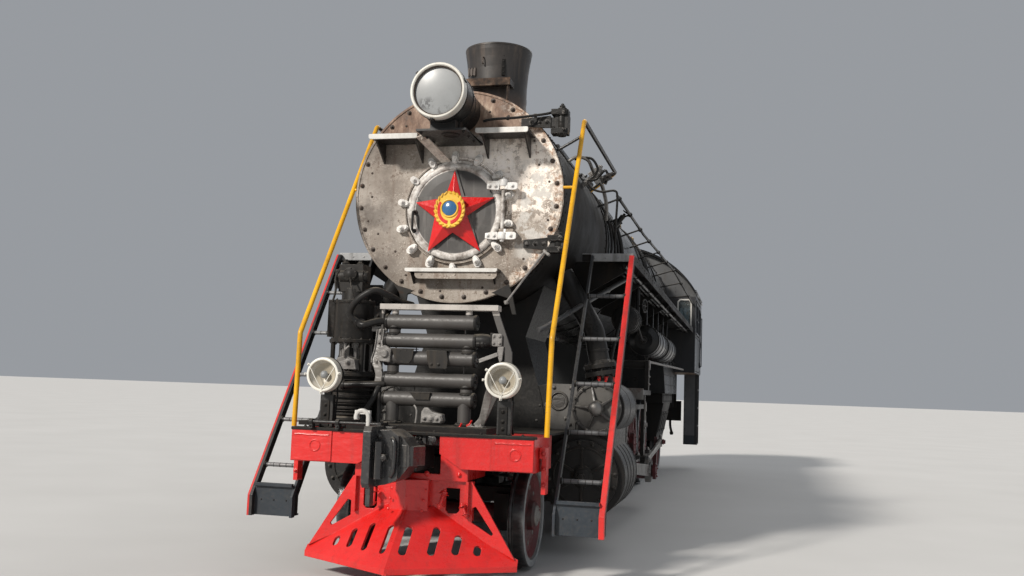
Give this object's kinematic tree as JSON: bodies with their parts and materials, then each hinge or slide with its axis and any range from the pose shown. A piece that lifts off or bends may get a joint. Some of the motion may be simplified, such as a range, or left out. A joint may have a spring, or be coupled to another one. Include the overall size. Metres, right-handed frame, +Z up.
{
  "type": "steam locomotive",
  "caption": "Large steam freight engine without its tender: pilot, buffer beam, round smokebox with a star on its door, long boiler, coupled driving wheels with side rods, and a closed cab.",
  "frame": {"origin": "centre of the engine's box in plan, at the lowest point of the wheel flanges", "axes": "+Z up, -Y the way the smokebox faces, +X the engine's left side"},
  "size_m": [3.298, 16.14, 5.278],
  "materials": {
    "black_frame": "satin",
    "black_body": "gloss",
    "black_pipe": "gloss",
    "smokebox_black": "matte",
    "smokebox_silver": "satin",
    "door_grey": "satin",
    "red_paint": "gloss",
    "wheel_red": "satin",
    "yellow_paint": "gloss",
    "white_paint": "satin",
    "lamp_white": "satin",
    "cab_paint": "satin",
    "cast_black": "satin",
    "spring_steel": "matte",
    "worn_steel": "worn",
    "rod_steel": "worn",
    "brass_fittings": "dull",
    "cab_wood": "worn",
    "window_glass": "clear"
  },
  "bodies": {
    "chassis": {"air_cooler": "black_pipe", "air_pump": "cast_black", "air_reservoirs": "black_body", "ash_pan": "black_frame", "axle_boxes": "black_frame", "boiler_barrel": "black_body", "boiler_handrails": "black_pipe", "brake_gear": "cast_black", "buffer_beam": "red_paint", "cab_floor": "cab_wood", "cab_front": "cab_paint", "cab_glass": "window_glass", "cab_rear": "cab_paint", "cab_roof": "black_body", "cab_side_left": "cab_paint", "cab_side_right": "cab_paint", "chimney": "smokebox_black", "cylinders": "cast_black", "drag_beam": "black_frame", "firebox": "black_body", "front_coupler": "cast_black", "front_deck": "black_frame", "front_handrails": "yellow_paint", "guide_bars": "worn_steel", "headlight": "black_body", "ladders": "black_frame", "main_frame": "black_frame", "marker_lamps": "lamp_white", "pilot": "red_paint", "running_boards": "black_frame", "safety_valves": "brass_fittings", "sand_domes": "black_body", "smokebox": "smokebox_black", "smokebox_front": "smokebox_silver", "smokebox_steps": "black_frame", "springs": "spring_steel", "steam_dome": "black_body", "steam_pipes": "black_pipe", "uncoupling_lever": "white_paint", "valve_gear": "cast_black"},
    "leading_truck": {"leading_truck": "black_frame"},
    "leading_wheels": {"leading_wheels": "wheel_red"},
    "trailing_truck": {"trailing_truck": "black_frame"},
    "trailing_wheels": {"trailing_wheels": "wheel_red"},
    "smokebox_door": {"smokebox_door": "door_grey"},
    "cab_door_left": {"cab_door_left": "cab_paint"},
    "cab_door_right": {"cab_door_right": "cab_paint"},
    "driving_wheels_1": {"driving_wheels_1": "wheel_red"},
    "driving_wheels_2": {"driving_wheels_2": "wheel_red"},
    "driving_wheels_3": {"driving_wheels_3": "wheel_red"},
    "driving_wheels_4": {"driving_wheels_4": "wheel_red"},
    "driving_wheels_5": {"driving_wheels_5": "wheel_red"},
    "coupling_rod_left": {"coupling_rod_left": "rod_steel"},
    "main_rod_left": {"main_rod_left": "rod_steel"},
    "crosshead_left": {"crosshead_left": "rod_steel"},
    "eccentric_rod_left": {"eccentric_rod_left": "rod_steel"},
    "coupling_rod_right": {"coupling_rod_right": "rod_steel"},
    "main_rod_right": {"main_rod_right": "rod_steel"},
    "crosshead_right": {"crosshead_right": "rod_steel"},
    "eccentric_rod_right": {"eccentric_rod_right": "rod_steel"}
  },
  "joints": [
    {"name": "driving_axle_3_turn", "type": "hinge", "parent": "chassis", "child": "driving_wheels_3", "pos_m": [0, -0.53, 0.778], "axis": [1, 0, 0], "continuous": true},
    {"name": "driving_axle_1_turn", "type": "hinge", "parent": "chassis", "child": "driving_wheels_1", "pos_m": [0, -3.78, 0.778], "axis": [1, 0, 0], "continuous": true},
    {"name": "driving_axle_2_turn", "type": "hinge", "parent": "chassis", "child": "driving_wheels_2", "pos_m": [0, -2.155, 0.778], "axis": [1, 0, 0], "continuous": true},
    {"name": "driving_axle_4_turn", "type": "hinge", "parent": "chassis", "child": "driving_wheels_4", "pos_m": [0, 1.095, 0.778], "axis": [1, 0, 0], "continuous": true},
    {"name": "driving_axle_5_turn", "type": "hinge", "parent": "chassis", "child": "driving_wheels_5", "pos_m": [0, 2.72, 0.778], "axis": [1, 0, 0], "continuous": true},
    {"name": "leading_truck_swivel", "type": "hinge", "parent": "chassis", "child": "leading_truck", "pos_m": [0, -4.96, 0.578], "axis": [0, 0, 1], "range_deg": [-3, 3]},
    {"name": "leading_axle_turn", "type": "hinge", "parent": "leading_truck", "child": "leading_wheels", "pos_m": [0, -6.52, 0.478], "axis": [1, 0, 0], "continuous": true},
    {"name": "trailing_truck_swivel", "type": "hinge", "parent": "chassis", "child": "trailing_truck", "pos_m": [0, 3.805, 0.578], "axis": [0, 0, 1], "range_deg": [-3, 3]},
    {"name": "trailing_axle_turn", "type": "hinge", "parent": "trailing_truck", "child": "trailing_wheels", "pos_m": [0, 6.085, 0.553], "axis": [1, 0, 0], "continuous": true},
    {"name": "smokebox_door_hinge", "type": "hinge", "parent": "chassis", "child": "smokebox_door", "pos_m": [0.475, -6.565, 3.258], "axis": [0, 0, 1], "range_deg": [0, 110]},
    {"name": "cab_door_left_hinge", "type": "hinge", "parent": "chassis", "child": "cab_door_left", "pos_m": [1.635, 7.25, 2.828], "axis": [0, 0, -1], "range_deg": [0, 95]},
    {"name": "cab_door_right_hinge", "type": "hinge", "parent": "chassis", "child": "cab_door_right", "pos_m": [-1.635, 7.25, 2.828], "axis": [0, 0, 1], "range_deg": [0, 95]},
    {"name": "coupling_rod_left_turn", "type": "hinge", "parent": "driving_wheels_3", "child": "coupling_rod_left", "pos_m": [0.98, -0.80224, 0.50576], "axis": [1, 0, 0], "continuous": true},
    {"name": "main_rod_left_turn", "type": "hinge", "parent": "driving_wheels_3", "child": "main_rod_left", "pos_m": [1.32, -0.80224, 0.50576], "axis": [1, 0, 0], "continuous": true},
    {"name": "eccentric_rod_left_turn", "type": "hinge", "parent": "driving_wheels_3", "child": "eccentric_rod_left", "pos_m": [1.47, -0.67142, 0.91942], "axis": [1, 0, 0], "continuous": true},
    {"name": "crosshead_left_slide", "type": "slide", "parent": "chassis", "child": "crosshead_left", "axis": [0, 1, 0], "range_m": [-0.1239, 0.6461]},
    {"name": "coupling_rod_right_turn", "type": "hinge", "parent": "driving_wheels_3", "child": "coupling_rod_right", "pos_m": [-0.98, -0.25776, 0.50576], "axis": [1, 0, 0], "continuous": true},
    {"name": "main_rod_right_turn", "type": "hinge", "parent": "driving_wheels_3", "child": "main_rod_right", "pos_m": [-1.32, -0.25776, 0.50576], "axis": [1, 0, 0], "continuous": true},
    {"name": "eccentric_rod_right_turn", "type": "hinge", "parent": "driving_wheels_3", "child": "eccentric_rod_right", "pos_m": [-1.47, -0.67142, 0.63658], "axis": [1, 0, 0], "continuous": true},
    {"name": "crosshead_right_slide", "type": "slide", "parent": "chassis", "child": "crosshead_right", "axis": [0, 1, 0], "range_m": [-0.6683, 0.1017]}
  ],
  "couplings": [
    {"joint": "driving_axle_1_turn", "follows": "driving_axle_3_turn", "ratio": 1},
    {"joint": "driving_axle_2_turn", "follows": "driving_axle_3_turn", "ratio": 1},
    {"joint": "driving_axle_4_turn", "follows": "driving_axle_3_turn", "ratio": 1},
    {"joint": "driving_axle_5_turn", "follows": "driving_axle_3_turn", "ratio": 1},
    {"joint": "coupling_rod_left_turn", "follows": "driving_axle_3_turn", "ratio": -1},
    {"joint": "main_rod_left_turn", "follows": "driving_axle_3_turn", "ratio": -1},
    {"joint": "eccentric_rod_left_turn", "follows": "driving_axle_3_turn", "ratio": -1},
    {"joint": "coupling_rod_right_turn", "follows": "driving_axle_3_turn", "ratio": -1},
    {"joint": "main_rod_right_turn", "follows": "driving_axle_3_turn", "ratio": -1},
    {"joint": "eccentric_rod_right_turn", "follows": "driving_axle_3_turn", "ratio": -1}
  ]
}
